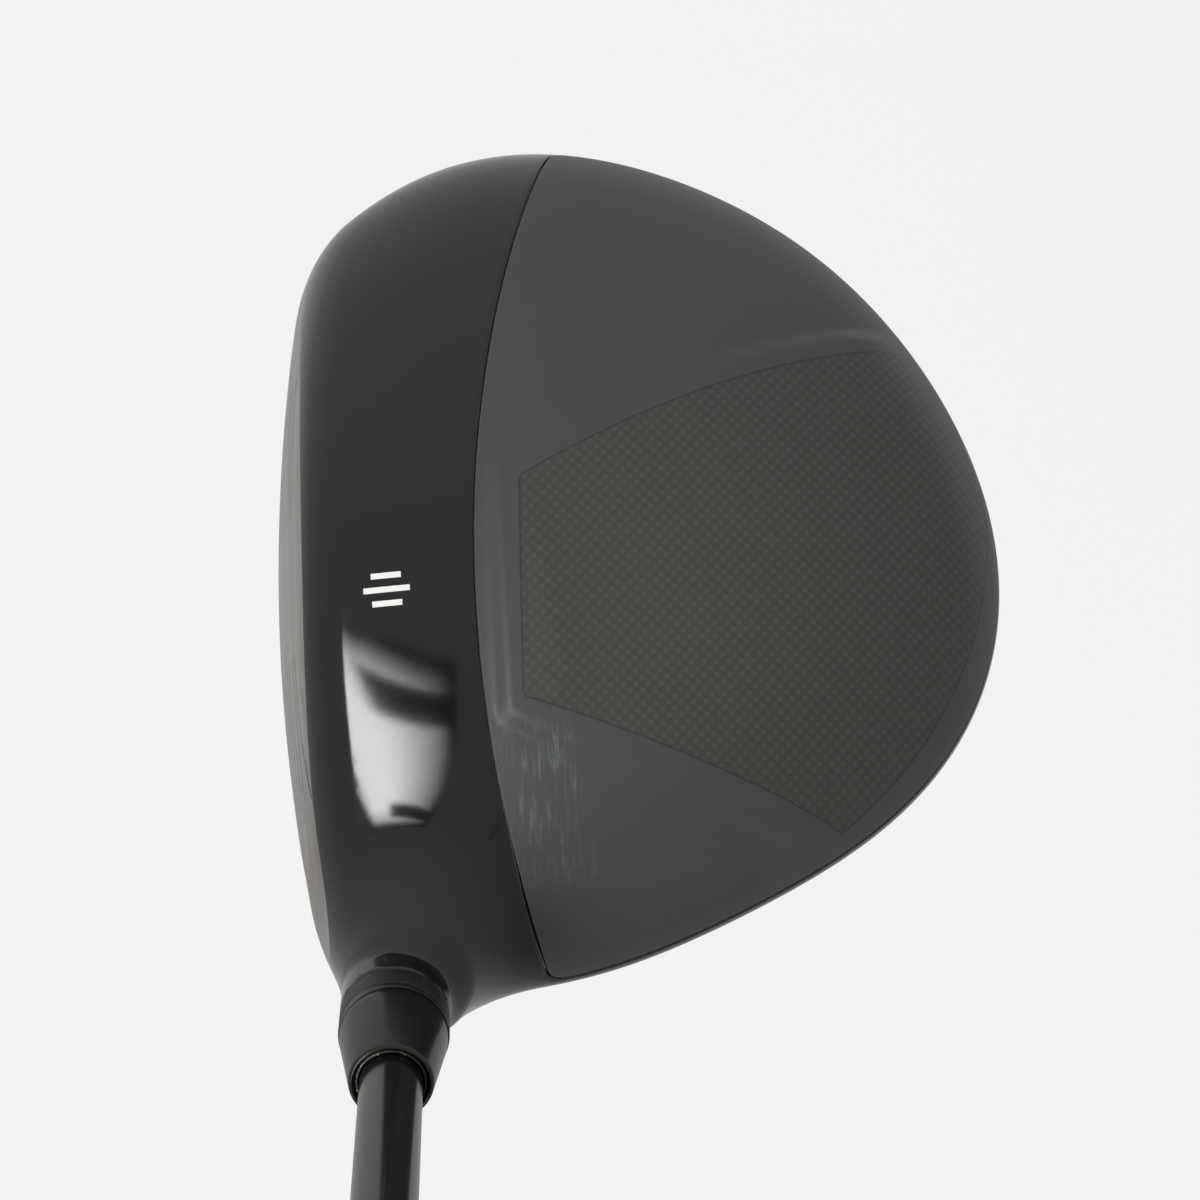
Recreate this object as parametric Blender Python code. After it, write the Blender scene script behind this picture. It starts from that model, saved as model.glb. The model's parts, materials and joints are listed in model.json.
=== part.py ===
"""Right-handed golf driver: the whole club at address, as separate pieces.

Frame: +Z up, origin at the centre of the sole's flat resting pad. +X runs from the
face to the tail of the head, +Y from heel to toe, and the shaft leans towards -Y at
the lie angle. Dimensions below are in millimetres; MM turns them into metres when a
mesh is made. "Height" on a turned piece is the distance along its own axis: from the
ground up the hosel and shaft, and from the sole inwards at a weight port.
"""

import math

import bmesh
import bpy
from mathutils import Matrix, Vector

MM = 0.001
GAP = 0.3  # clearance between pieces that touch
SIDES = 24  # of a turned piece
FINE_SIDES = 18  # of a small turned piece

# Club
LIE = math.radians(59.0)
LOFT = math.radians(9.0)
HOSEL_FOOT = Vector((-28.8, -39.9, 0.0))  # where the hosel axis meets the ground
CLUB_LENGTH = 1156.0
MERGE = 1e-7  # metres, for points that coincide

# Head hull: plan radius every 30 degrees from the tail, turning towards the toe
OUTLINE_RADII = (64.8, 60.0, 58.9, 61.5, 61.2, 63.0, 73.0, 70.5, 70.5, 67.2, 64.0, 67.5)
EQUATOR = 28.0  # height of the widest line
CROWN_RISE = 32.0
SOLE_DEPTH = 28.4
CROWN_POWERS = (2.0, 1.75)  # plan and height powers of the crown's superellipse
SOLE_POWERS = (2.2, 1.8)
ANGLE_STEPS = 48
LATITUDE_STEPS = 18

# Face
FACE_CENTRE = (-12.0, 28.0)  # Y and Z
FACE_FOOT = -48.95  # X where the face's mid line would meet the ground
FACE_RADIUS = 305.0  # bulge and roll
FACE_EDGE_ROUND = 6.0
FACE_THICKNESS = 2.6
FACE_PLATE_CENTRE = (-8.0, 29.5)
FACE_PLATE_HALF = (43.5, 21.0)
FACE_PLATE_BACK = -35.6

# Shell and panels
WALL = 2.0
PANEL = 0.85  # thickness of a carbon panel
LEDGE = 5.0  # width of the shelf a panel is bonded to
PANEL_POWER = 2.6
CROWN_SEAM_FRONT = -14.2  # X of the seam's foremost point
CROWN_SEAM_MIDDLE = -15.0  # and its Y
CROWN_SEAM_RADIUS = 190.0
CROWN_EDGE_HEIGHT = 31.0
SOLE_PANEL_CENTRE = (18.0, 27.0)
SOLE_PANEL_HALF = (22.0, 17.0)
SOLE_PANEL_TOP = 24.0
FAR = 110.0  # beyond the head in every direction

# Hosel, by height along its axis
HOSEL_RIM = 65.0
HOSEL_RADIUS = 7.8
HOSEL_ROOT, HOSEL_ROOT_RADIUS, HOSEL_STRAIGHT = 36.0, 5.0, 46.0  # it widens up to the straight part
SHOULDER_RISE, SHOULDER_WIDTH = 16.0, 13.0  # how the head swells up the hosel, most at the axis
SHOULDER_HEIGHTS = (2.0, 26.0)  # none below the first, all of it above the second
TUBE_BOTTOM, SCREW_SHELF, SHELF_THICKNESS = 30.5, 37.0, 3.0
TUBE_RADIUS, SLEEVE_BORE, SCREW_POCKET = 6.5, 5.35, 5.0
SCREW_RADIUS, SCREW_HOLE = 2.4, 2.75
SCREW_HEAD_RADIUS, SCREW_HEAD_LENGTH, SCREW_TIP = 3.9, 4.5, 52.0
WASHER_THICKNESS = 0.9
WASHER_OVERHANG = 0.5

# Shaft side, by height along the same axis
SLEEVE_BOTTOM, SLEEVE_RADIUS = 42.0, 5.0
SLEEVE_SEAT = 54.0  # bottom of the bore that the shaft's tip is glued into
SLEEVE_TAP = 2.9  # radius of the threaded hole below it
RING_BOTTOM, RING_TOP, RING_RADIUS = 65.3, 69.4, 7.8
COLLAR_TOP = 70.6
FERRULE_BOTTOM, FERRULE_TOP = 70.9, 84.4
FERRULE_RADII = (7.6, 5.8)
FERRULE_LIP = 0.4
EPOXY_DEPTH = 1.4
SHAFT_BOTTOM = 54.6
SHAFT_TIP_RADIUS, SHAFT_BUTT_RADIUS, SHAFT_WALL = 4.35, 7.5, 1.0
TAPER_START = 300.0
SHAFT_BORE_IN_SLEEVE = 4.65
PLUG_LENGTH = 13.0
GRIP_LENGTH = 268.0
GRIP_RADII = (9.3, 13.4)  # mouth and butt
GRIP_LIP = (0.6, 3.0)  # step and height of the grip's mouth
GRIP_BUTT = 12.0  # parallel part below the cap
TAPE_SETBACK = 2.0
TAPE = 0.2
CAP_HEIGHT = 6.0
CAP_EDGE = (2.0, 1.0)  # width and height of the chamfer
VENT_RADIUS = 1.4

# Weight ports: plan place of each mouth; the axis is square to the sole there
WEIGHT_PORTS = {"front_toe": (-20.0, 22.0), "front_heel": (-20.0, -12.0), "rear": (46.0, -8.0)}
PORT_RADIUS, PORT_POCKET, PORT_DEPTH, PORT_LENGTH = 8.0, 6.6, 8.2, 15.0
MOUTH_DEPTH = 1.0  # the port and weight start this far inside the sole
WEIGHT_RADIUS, WEIGHT_HEAD, WEIGHT_SHANK = 6.3, 5.0, 2.3
TAPPED_RADIUS = 2.7
SOCKET_RADIUS, SOCKET_DEPTH = 2.4, 2.8
RING_INNER, RING_OUTER, RING_HEIGHT = 3.0, 5.2, 1.2

# Inside the head
RIBS = {"front_sound_rib": 0.0, "rear_sound_rib": 22.0}  # X of each rib
RIB_THICKNESS, RIB_HALF_LENGTH, RIB_TOP = 1.2, 34.0, 9.0
PAD_CENTRE, PAD_RADIUS = Vector((-35.0, 12.0, 12.0)), 7.0
PAD_SEGMENTS = (16, 10)


def remove_everything():
    for thing in list(bpy.data.objects):
        bpy.data.objects.remove(thing, do_unlink=True)


def finish(name, colour, roughness, metallic=0.0):
    """Principled material of one piece."""
    material = bpy.data.materials.new(name)
    material.use_nodes = True
    shader = material.node_tree.nodes["Principled BSDF"]
    shader.inputs["Base Color"].default_value = (*colour, 1.0)
    shader.inputs["Roughness"].default_value = roughness
    shader.inputs["Metallic"].default_value = metallic
    return material


def add_object(name, mesh, material=None, parent=None, smooth=40.0):
    """Link a bmesh as an object; without a material it is a cutter."""
    bmesh.ops.recalc_face_normals(mesh, faces=mesh.faces)
    data = bpy.data.meshes.new(name)
    mesh.to_mesh(data)
    mesh.free()
    thing = bpy.data.objects.new(name, data)
    bpy.context.scene.collection.objects.link(thing)
    thing.parent = parent
    if material is None:
        thing.hide_render = True
        thing.display_type = "WIRE"
    else:
        data.materials.append(material)
        data.shade_smooth()
        data.set_sharp_from_angle(angle=math.radians(smooth))
    return thing


def add_axis(name, place):
    """Empty whose Z axis is the axis that pieces turn or slide on."""
    axis = bpy.data.objects.new(name, None)
    bpy.context.scene.collection.objects.link(axis)
    axis.matrix_world = place
    return axis


def combine(target, cutter, operation="DIFFERENCE"):
    modifier = target.modifiers.new(cutter.name, "BOOLEAN")
    modifier.object = cutter
    modifier.operation = operation
    modifier.solver = "EXACT"


def turned(name, profile, material=None, parent=None, sides=SIDES):
    """Spin (radius, height) points about the parent's Z axis.

    A profile that starts and ends on the axis is solid; any other is closed on itself.
    """
    mesh = bmesh.new()
    points = [mesh.verts.new((radius * MM, 0.0, height * MM)) for radius, height in profile]
    solid = profile[0][0] == 0.0 and profile[-1][0] == 0.0
    edges = [mesh.edges.new(pair) for pair in zip(points, points[1:])]
    if not solid:
        edges.append(mesh.edges.new((points[-1], points[0])))
    bmesh.ops.spin(mesh, geom=points + edges, cent=(0, 0, 0), axis=(0, 0, 1), angle=2 * math.pi,
                   steps=sides, use_merge=True)
    bmesh.ops.remove_doubles(mesh, verts=mesh.verts, dist=MERGE)
    return add_object(name, mesh, material, parent)


def tube_profile(outer, inner, bottom, top):
    return [(inner, bottom), (outer, bottom), (outer, top), (inner, top)]


def prism(name, outline, low, high, along_x=False, material=None, parent=None):
    """Extrude a plan outline between two heights, or a front outline between two X values."""
    mesh = bmesh.new()
    base = []
    for first, second in outline:
        point = (low, first, second) if along_x else (first, second, low)
        base.append(mesh.verts.new(Vector(point) * MM))
    face = mesh.faces.new(base)
    moved = bmesh.ops.extrude_face_region(mesh, geom=[face])["geom"]
    shift = Vector((high - low, 0, 0)) if along_x else Vector((0, 0, high - low))
    lifted = [item for item in moved if isinstance(item, bmesh.types.BMVert)]
    bmesh.ops.translate(mesh, verts=lifted, vec=shift * MM)
    return add_object(name, mesh, material, parent)


def superellipse(centre, half, power, count=36):
    """Closed outline with rounded-rectangle sides."""
    outline = []
    for step in range(count):
        angle = 2 * math.pi * step / count
        across = math.copysign(abs(math.cos(angle)) ** (2 / power), math.cos(angle))
        upward = math.copysign(abs(math.sin(angle)) ** (2 / power), math.sin(angle))
        outline.append((centre[0] + half[0] * across, centre[1] + half[1] * upward))
    return outline


def outline_radius(angle):
    """Plan radius of the hull: the smooth periodic curve through OUTLINE_RADII."""
    count = len(OUTLINE_RADII)
    total = 0.0
    for index, radius in enumerate(OUTLINE_RADII):
        away = angle - 2 * math.pi * index / count
        if abs(math.sin(away / 2)) < MERGE:
            return radius
        total += radius * math.sin(count * away / 2) / (count * math.tan(away / 2))
    return total


def face_x(y, z):
    """X of the bulged and rolled face at a width and height."""
    sideways = y - FACE_CENTRE[0]
    upwards = z - FACE_CENTRE[1]
    return FACE_FOOT + z * math.tan(LOFT) + (sideways ** 2 + upwards ** 2) / (2 * FACE_RADIUS)


def smooth_max(first, second, width):
    """The larger value, with the corner between the two rounded over the width."""
    overlap = max(width - abs(first - second), 0.0)
    return max(first, second) + overlap ** 2 / (4 * width)


def shoulder_lift(point):
    """Move of a point of the plain hull along the hosel's axis, where the head swells into the hosel."""
    along = Vector((0.0, -math.cos(LIE), math.sin(LIE)))
    offset = point - HOSEL_FOOT
    away = (offset - along * offset.dot(along)).length
    low, high = SHOULDER_HEIGHTS
    share = min(max((point.z - low) / (high - low), 0.0), 1.0)
    share *= share * (3 - 2 * share)
    return along * SHOULDER_RISE * math.exp(-(away / SHOULDER_WIDTH) ** 2) * share


def hull_point(angle, latitude, inset):
    """Point of the head's outer shape at a plan angle and latitude, moved in by the inset."""
    upper = latitude >= 0
    plan_power, height_power = CROWN_POWERS if upper else SOLE_POWERS
    reach = (outline_radius(angle) - inset) * math.cos(latitude) ** (2 / plan_power)
    rise = abs(math.sin(latitude)) ** (2 / height_power)
    z = EQUATOR + (CROWN_RISE - inset) * rise if upper else EQUATOR - (SOLE_DEPTH - inset) * rise
    z = max(z, inset)
    y = reach * math.sin(angle)
    x = smooth_max(reach * math.cos(angle), face_x(y, z) + inset, FACE_EDGE_ROUND)
    point = Vector((x, y, z))
    return point + shoulder_lift(point)


def sole_height(x, y):
    """Height of the sole's outer surface over a plan place."""
    share = math.hypot(x, y) / outline_radius(math.atan2(y, x))
    plan_power, height_power = SOLE_POWERS
    return max(EQUATOR - SOLE_DEPTH * (1 - share ** plan_power) ** (1 / height_power), 0.0)


def sole_inward(x, y, step=1.0):
    """Unit vector into the head, square to the sole."""
    slope_x = (sole_height(x + step, y) - sole_height(x - step, y)) / (2 * step)
    slope_y = (sole_height(x, y + step) - sole_height(x, y - step)) / (2 * step)
    return Vector((-slope_x, -slope_y, 1.0)).normalized()


def hull(name, inset, material=None):
    """Closed head shape, as rings of points from the crown's top to the middle of the sole."""
    mesh = bmesh.new()
    rings = []
    for row in range(1, LATITUDE_STEPS):
        latitude = math.pi / 2 - math.pi * row / LATITUDE_STEPS
        ring = []
        for column in range(ANGLE_STEPS):
            point = hull_point(2 * math.pi * column / ANGLE_STEPS, latitude, inset)
            ring.append(mesh.verts.new(point * MM))
        rings.append(ring)
    top = mesh.verts.new(hull_point(0.0, math.pi / 2, inset) * MM)
    bottom = mesh.verts.new(hull_point(0.0, -math.pi / 2, inset) * MM)
    for column in range(ANGLE_STEPS):
        after = (column + 1) % ANGLE_STEPS
        mesh.faces.new((top, rings[0][column], rings[0][after]))
        mesh.faces.new((bottom, rings[-1][after], rings[-1][column]))
        for upper, lower in zip(rings, rings[1:]):
            mesh.faces.new((upper[column], lower[column], lower[after], upper[after]))
    return add_object(name, mesh, material)


def crown_outline(shift):
    """Plan outline of everything behind the crown seam, which bows back at toe and heel."""
    outline = []
    for step in range(-10, 11):
        y = step * FAR / 10
        bow = (y - CROWN_SEAM_MIDDLE) ** 2 / (2 * CROWN_SEAM_RADIUS)
        outline.append((CROWN_SEAM_FRONT + shift + bow, y))
    return outline + [(FAR, FAR), (FAR, -FAR)]


def add_hosel(body):
    """Join the hosel's outside to the head."""
    hosel = turned("hosel_outside", [(0, HOSEL_ROOT), (HOSEL_ROOT_RADIUS, HOSEL_ROOT),
                                     (HOSEL_RADIUS, HOSEL_STRAIGHT), (HOSEL_RADIUS, HOSEL_RIM),
                                     (0, HOSEL_RIM)], parent=HOSEL_AXIS)
    combine(body, hosel, "UNION")


def seat_cutter(name, outline, low, high, along_x=False):
    """Cutter for the recess that a panel lies in: the prism outside the recess floor."""
    cutter = prism(name, outline, low, high, along_x)
    combine(cutter, RECESS_FLOOR)
    return cutter


def make_shell():
    """Titanium casting with its face plate and the carbon crown and sole panels."""
    titanium = finish("painted_titanium", (0.03, 0.03, 0.033), 0.12)
    face_titanium = finish("brushed_titanium", (0.42, 0.41, 0.40), 0.35, 0.9)
    carbon = finish("matte_carbon", (0.075, 0.075, 0.073), 0.5)

    body = hull("head_body", 0.0, titanium)
    add_hosel(body)
    cavity = hull("head_cavity", WALL)
    combine(body, cavity)

    crown_seat = seat_cutter("crown_seat", crown_outline(0.0), CROWN_EDGE_HEIGHT, FAR)
    combine(body, crown_seat)
    combine(body, prism("crown_opening", crown_outline(LEDGE), CROWN_EDGE_HEIGHT + LEDGE, FAR))
    crown = hull("crown_panel", 0.0, carbon)
    combine(crown, prism("crown_shape", crown_outline(GAP), CROWN_EDGE_HEIGHT + GAP, FAR), "INTERSECT")
    combine(crown, PANEL_INSIDE)

    plate_outline = superellipse(FACE_PLATE_CENTRE, FACE_PLATE_HALF, PANEL_POWER)
    inner_half = [size - GAP for size in FACE_PLATE_HALF]
    combine(body, prism("face_opening", plate_outline, -FAR, FACE_PLATE_BACK, along_x=True))
    plate = hull("face_plate", 0.0, face_titanium)
    plate_shape = superellipse(FACE_PLATE_CENTRE, inner_half, PANEL_POWER)
    combine(plate, prism("face_shape", plate_shape, -FAR, FACE_PLATE_BACK - GAP, along_x=True), "INTERSECT")
    combine(plate, hull("face_back", FACE_THICKNESS))

    for side, sign in (("toe", 1), ("heel", -1)):
        centre = (SOLE_PANEL_CENTRE[0], sign * SOLE_PANEL_CENTRE[1])
        outlines = [superellipse(centre, [size - shrink for size in SOLE_PANEL_HALF], PANEL_POWER)
                    for shrink in (0.0, GAP, LEDGE)]
        combine(body, seat_cutter(f"{side}_sole_seat", outlines[0], -FAR, SOLE_PANEL_TOP))
        combine(body, prism(f"{side}_sole_opening", outlines[2], -FAR, SOLE_PANEL_TOP))
        panel = hull(f"{side}_sole_panel", 0.0, carbon)
        combine(panel, prism(f"{side}_sole_shape", outlines[1], -FAR, SOLE_PANEL_TOP), "INTERSECT")
        combine(panel, PANEL_INSIDE)

    bore = turned("hosel_bore", [(0, -FAR), (TUBE_RADIUS + GAP, -FAR), (TUBE_RADIUS + GAP, FAR), (0, FAR)],
                  parent=HOSEL_AXIS)
    combine(body, bore)
    return body


def socket(name, depth_from, parent):
    """Six-sided wrench socket, cut into a screw head from below."""
    outline = [(SOCKET_RADIUS * math.cos(math.pi * k / 3), SOCKET_RADIUS * math.sin(math.pi * k / 3))
               for k in range(6)]
    return prism(name, outline, depth_from - FAR, depth_from + SOCKET_DEPTH, parent=parent)


def make_hosel_hardware():
    """Tube bonded into the casting, with the screw and washer that hold the shaft sleeve."""
    machined = finish("machined_titanium", (0.35, 0.35, 0.36), 0.3, 1.0)
    steel = finish("screw_steel", (0.2, 0.2, 0.21), 0.35, 1.0)
    shelf_top = SCREW_SHELF + SHELF_THICKNESS
    turned("hosel_tube", [
        (SCREW_POCKET, TUBE_BOTTOM), (TUBE_RADIUS, TUBE_BOTTOM), (TUBE_RADIUS, HOSEL_RIM - GAP),
        (SLEEVE_BORE, HOSEL_RIM - GAP), (SLEEVE_BORE, shelf_top), (SCREW_HOLE, shelf_top),
        (SCREW_HOLE, SCREW_SHELF), (SCREW_POCKET, SCREW_SHELF)], machined, HOSEL_AXIS)
    washer_top = SCREW_SHELF - GAP
    washer_bottom = washer_top - WASHER_THICKNESS
    washer_radius = SCREW_HEAD_RADIUS + WASHER_OVERHANG
    turned("screw_washer", tube_profile(washer_radius, SCREW_HOLE, washer_bottom, washer_top),
           steel, HOSEL_AXIS, FINE_SIDES)
    head_top = washer_bottom - GAP
    head_bottom = head_top - SCREW_HEAD_LENGTH
    screw = turned("hosel_screw", [
        (0, head_bottom), (SCREW_HEAD_RADIUS, head_bottom), (SCREW_HEAD_RADIUS, head_top),
        (SCREW_RADIUS, head_top), (SCREW_RADIUS, SCREW_TIP), (0, SCREW_TIP)], steel, HOSEL_AXIS, FINE_SIDES)
    combine(screw, socket("hosel_screw_socket", head_bottom, HOSEL_AXIS))


def make_weights(body):
    """Three ports bonded into the sole, each with a screw-in weight on an O-ring."""
    port_finish = finish("port_aluminium", (0.10, 0.10, 0.105), 0.35, 0.8)
    weight_finish = finish("weight_steel", (0.45, 0.45, 0.46), 0.3, 1.0)
    rubber = finish("seal_rubber", (0.02, 0.02, 0.02), 0.7)
    for name, (x, y) in WEIGHT_PORTS.items():
        mouth = Vector((x, y, sole_height(x, y))) * MM
        turn = Vector((0, 0, 1)).rotation_difference(sole_inward(x, y))
        axis = add_axis(f"{name}_axis", Matrix.Translation(mouth) @ turn.to_matrix().to_4x4())
        bore_radius = PORT_RADIUS + GAP
        bore = turned(f"{name}_bore", [(0, -PORT_LENGTH), (bore_radius, -PORT_LENGTH),
                                       (bore_radius, PORT_LENGTH), (0, PORT_LENGTH)], parent=axis)
        combine(body, bore)
        turned(f"{name}_weight_port", [
            (PORT_POCKET, MOUTH_DEPTH), (PORT_RADIUS, MOUTH_DEPTH), (PORT_RADIUS, PORT_LENGTH),
            (TAPPED_RADIUS, PORT_LENGTH), (TAPPED_RADIUS, PORT_DEPTH), (PORT_POCKET, PORT_DEPTH)],
            port_finish, axis)
        ring_top = PORT_DEPTH - GAP
        ring_bottom = ring_top - RING_HEIGHT
        turned(f"{name}_o_ring", [
            (RING_INNER, ring_bottom), (RING_OUTER, ring_bottom), (RING_OUTER, ring_top),
            (RING_INNER, ring_top)], rubber, axis, FINE_SIDES)
        head_top = ring_bottom - GAP
        head_bottom = head_top - WEIGHT_HEAD
        weight = turned(f"{name}_weight", [
            (0, head_bottom), (WEIGHT_RADIUS, head_bottom), (WEIGHT_RADIUS, head_top),
            (WEIGHT_SHANK, head_top), (WEIGHT_SHANK, PORT_LENGTH), (0, PORT_LENGTH)],
            weight_finish, axis, FINE_SIDES)
        combine(weight, socket(f"{name}_weight_socket", head_bottom, axis))


def make_inner_parts():
    """Sound ribs across the sole and the damping pad behind the face's lower toe side."""
    rib_finish = finish("rib_titanium", (0.3, 0.3, 0.3), 0.5, 1.0)
    for name, x in RIBS.items():
        half = RIB_THICKNESS / 2
        outline = [(x - half, -RIB_HALF_LENGTH), (x + half, -RIB_HALF_LENGTH),
                   (x + half, RIB_HALF_LENGTH), (x - half, RIB_HALF_LENGTH)]
        rib = prism(name, outline, 0.0, RIB_TOP, material=rib_finish)
        combine(rib, INSIDE_WALL, "INTERSECT")
    mesh = bmesh.new()
    bmesh.ops.create_uvsphere(mesh, u_segments=PAD_SEGMENTS[0], v_segments=PAD_SEGMENTS[1],
                              radius=PAD_RADIUS * MM)
    pad = add_object("damping_pad", mesh, finish("hot_melt", (0.5, 0.42, 0.28), 0.5))
    pad.location = PAD_CENTRE * MM
    combine(pad, hull("behind_face", FACE_THICKNESS + GAP), "INTERSECT")


def shaft_radius(height):
    """Outside of the shaft: parallel tip, then an even taper to the butt."""
    share = max(height - TAPER_START, 0.0) / (CLUB_LENGTH - TAPER_START)
    return SHAFT_TIP_RADIUS + (SHAFT_BUTT_RADIUS - SHAFT_TIP_RADIUS) * share


def make_shaft_side():
    """Shaft with its sleeve, loft ring, ferrule, plug and grip."""
    anodised = finish("anodised_aluminium", (0.03, 0.03, 0.029), 0.45, 0.6)
    plastic = finish("ferrule_plastic", (0.06, 0.06, 0.06), 0.3)
    epoxy = finish("epoxy", (0.10, 0.075, 0.03), 0.4)
    carbon = finish("shaft_carbon", (0.016, 0.018, 0.017), 0.25)
    rubber = finish("grip_rubber", (0.025, 0.025, 0.026), 0.8)

    turned("shaft_sleeve", [
        (SLEEVE_TAP, SLEEVE_BOTTOM), (SLEEVE_RADIUS, SLEEVE_BOTTOM), (SLEEVE_RADIUS, RING_TOP + GAP),
        (RING_RADIUS, RING_TOP + GAP), (RING_RADIUS, COLLAR_TOP), (SHAFT_BORE_IN_SLEEVE, COLLAR_TOP),
        (SHAFT_BORE_IN_SLEEVE, SLEEVE_SEAT), (SLEEVE_TAP, SLEEVE_SEAT)], anodised, HOSEL_AXIS)
    turned("loft_ring", tube_profile(RING_RADIUS, SLEEVE_BORE, RING_BOTTOM, RING_TOP), anodised, HOSEL_AXIS)

    pocket = FERRULE_TOP - EPOXY_DEPTH
    bore = SHAFT_TIP_RADIUS + GAP
    lip = FERRULE_RADII[1] - FERRULE_LIP
    turned("ferrule", [
        (bore, FERRULE_BOTTOM), (FERRULE_RADII[0], FERRULE_BOTTOM), (FERRULE_RADII[1], FERRULE_TOP),
        (lip, FERRULE_TOP), (lip, pocket), (bore, pocket)], plastic, HOSEL_AXIS)
    turned("ferrule_epoxy", tube_profile(lip - GAP, bore, pocket + GAP, FERRULE_TOP - GAP), epoxy,
           HOSEL_AXIS, FINE_SIDES)

    butt = CLUB_LENGTH - CAP_HEIGHT / 2
    heights = [SHAFT_BOTTOM, TAPER_START, butt]
    outside = [(shaft_radius(height), height) for height in heights]
    inside = [(radius - SHAFT_WALL, height) for radius, height in reversed(outside)]
    turned("shaft", outside + inside, carbon, HOSEL_AXIS)
    plug_radius = SHAFT_TIP_RADIUS - SHAFT_WALL - GAP
    turned("shaft_tip_plug", [(0, SHAFT_BOTTOM), (plug_radius, SHAFT_BOTTOM),
                              (plug_radius, SHAFT_BOTTOM + PLUG_LENGTH), (0, SHAFT_BOTTOM + PLUG_LENGTH)],
           finish("plug_brass", (0.5, 0.38, 0.15), 0.35, 1.0), HOSEL_AXIS, FINE_SIDES)

    mouth = CLUB_LENGTH - GRIP_LENGTH
    tape_ends = (mouth + TAPE_SETBACK, butt)
    tape_inner = [(shaft_radius(height) + GAP, height) for height in tape_ends]
    tape_outer = [(radius + TAPE, height) for radius, height in reversed(tape_inner)]
    turned("grip_tape", tape_inner + tape_outer, finish("grip_tape", (0.6, 0.55, 0.42), 0.7), HOSEL_AXIS)
    bore_extra = 2 * GAP + TAPE
    cap_bottom = CLUB_LENGTH - CAP_HEIGHT
    turned("grip", [
        (shaft_radius(mouth) + bore_extra, mouth), (GRIP_RADII[0], mouth),
        (GRIP_RADII[0] + GRIP_LIP[0], mouth + GRIP_LIP[1]), (GRIP_RADII[1], cap_bottom - GRIP_BUTT),
        (GRIP_RADII[1], cap_bottom),
        (shaft_radius(cap_bottom) + bore_extra, cap_bottom)], rubber, HOSEL_AXIS)
    cap_lip = shaft_radius(CLUB_LENGTH) + bore_extra
    turned("grip_cap", [
        (cap_lip, cap_bottom + GAP), (GRIP_RADII[1], cap_bottom + GAP),
        (GRIP_RADII[1], CLUB_LENGTH - CAP_EDGE[1]), (GRIP_RADII[1] - CAP_EDGE[0], CLUB_LENGTH),
        (VENT_RADIUS, CLUB_LENGTH), (VENT_RADIUS, butt + GAP), (cap_lip, butt + GAP)], rubber, HOSEL_AXIS)


remove_everything()
HOSEL_AXIS = add_axis("hosel_axis", Matrix.Translation(HOSEL_FOOT * MM)
                      @ Matrix.Rotation(math.pi / 2 - LIE, 4, "X"))
RECESS_FLOOR = hull("recess_floor", PANEL + GAP)
PANEL_INSIDE = hull("panel_inside", PANEL)
INSIDE_WALL = hull("inside_wall", WALL + GAP)
HEAD_BODY = make_shell()
make_hosel_hardware()
make_weights(HEAD_BODY)
make_inner_parts()
make_shaft_side()
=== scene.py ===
"""Looks of the golf driver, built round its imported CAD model.

The outside of the head is one surface: the zero level of head_field(), a smooth field in
millimetres that repeats the CAD's driving dimensions and adds the fillet at the hosel and
the low relief of the crown. It is meshed once, cut along the seams, and closed into one
shell for each panel. Round pieces are turned from rounded profiles.
"""

import json
import math

import bpy
import numpy as np
from mathutils import Matrix, Vector


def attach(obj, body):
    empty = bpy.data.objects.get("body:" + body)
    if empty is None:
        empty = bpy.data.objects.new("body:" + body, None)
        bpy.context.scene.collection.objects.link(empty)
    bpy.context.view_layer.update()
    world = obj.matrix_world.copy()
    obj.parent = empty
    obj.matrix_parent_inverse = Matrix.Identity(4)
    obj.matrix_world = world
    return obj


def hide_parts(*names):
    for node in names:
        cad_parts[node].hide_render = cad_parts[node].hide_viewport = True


MM = 0.001

# Driving dimensions of the CAD, in millimetres
LIE, LOFT = math.radians(59.0), math.radians(9.0)
ALONG = np.array([0.0, -math.cos(LIE), math.sin(LIE)])  # up the hosel and shaft
HOSEL_FOOT = np.array([-28.8, -39.9, 0.0])
OUTLINE_RADII = (64.8, 60.0, 58.9, 61.5, 61.2, 63.0, 73.0, 70.5, 70.5, 67.2, 64.0, 67.5)
EQUATOR, CROWN_RISE, SOLE_DEPTH = 28.0, 32.0, 28.4
CROWN_POWERS, SOLE_POWERS = (2.0, 1.75), (2.2, 1.8)
FACE_CENTRE, FACE_FOOT, FACE_RADIUS, FACE_EDGE_ROUND = (-12.0, 28.0), -48.95, 305.0, 6.0
SHOULDER_RISE, SHOULDER_WIDTH, SHOULDER_HEIGHTS = 16.0, 13.0, (2.0, 26.0)
HOSEL_RIM, HOSEL_RADIUS, HOSEL_ROOT = 65.0, 7.8, 38.0
CROWN_SEAM_FRONT, CROWN_SEAM_MIDDLE, CROWN_SEAM_RADIUS = -14.2, -15.0, 190.0
CROWN_EDGE_HEIGHT, CROWN_EDGE_ROUND = 31.0, 4.0
SOLE_PANEL_CENTRE, SOLE_PANEL_HALF, PANEL_POWER, SOLE_PANEL_TOP = (18.0, 27.0), (22.0, 17.0), 2.6, 24.0
SHAFT_TIP_RADIUS, SHAFT_BUTT_RADIUS, TAPER_START, CLUB_LENGTH = 4.35, 7.5, 300.0, 1156.0
PORT_HOLE, SCREW_HOLE = 8.3, 6.8

PORTS = ("front_toe", "front_heel", "rear")

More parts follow.
